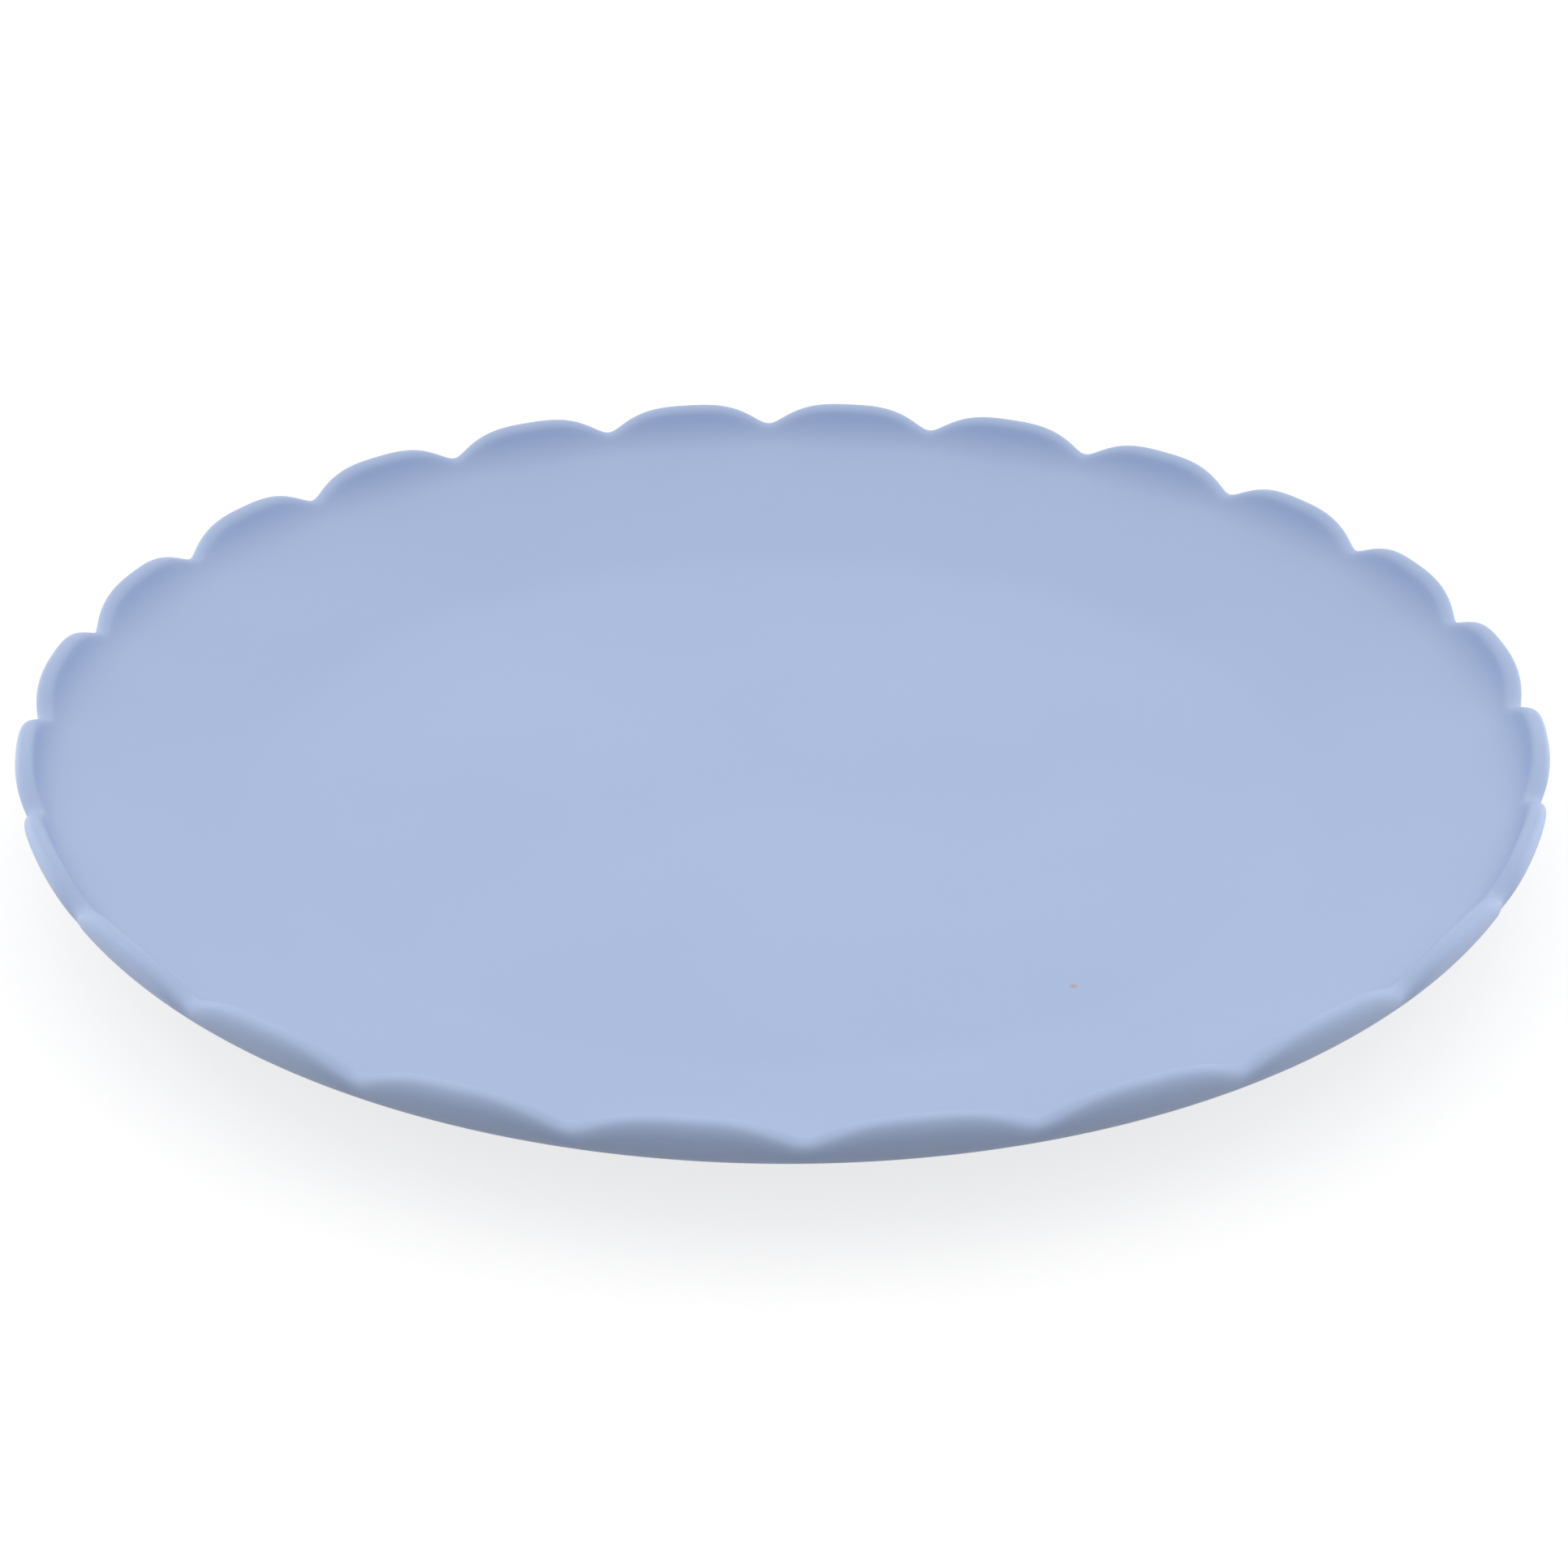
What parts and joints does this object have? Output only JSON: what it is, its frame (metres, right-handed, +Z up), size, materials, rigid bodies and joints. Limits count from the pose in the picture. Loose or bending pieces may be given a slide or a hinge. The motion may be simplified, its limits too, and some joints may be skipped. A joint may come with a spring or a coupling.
{
  "type": "scalloped dinner plate",
  "caption": "Round moulded plastic dinner plate with a flat well, a straight sloping flank and an upturned rim that ends in a rounded scalloped lip.",
  "frame": {"origin": "centre of the plate on the surface that its foot ring stands on", "axes": "+Z up out of the well along the plate's axis, +X through the tip of a scallop"},
  "size_m": [0.267, 0.267, 0.0248],
  "materials": {
    "plate_plastic": "through-coloured pale periwinkle blue moulded plastic, satin to matte, smooth on every face"
  },
  "bodies": {
    "root": {"plate": "plate_plastic"}
  },
  "joints": []
}
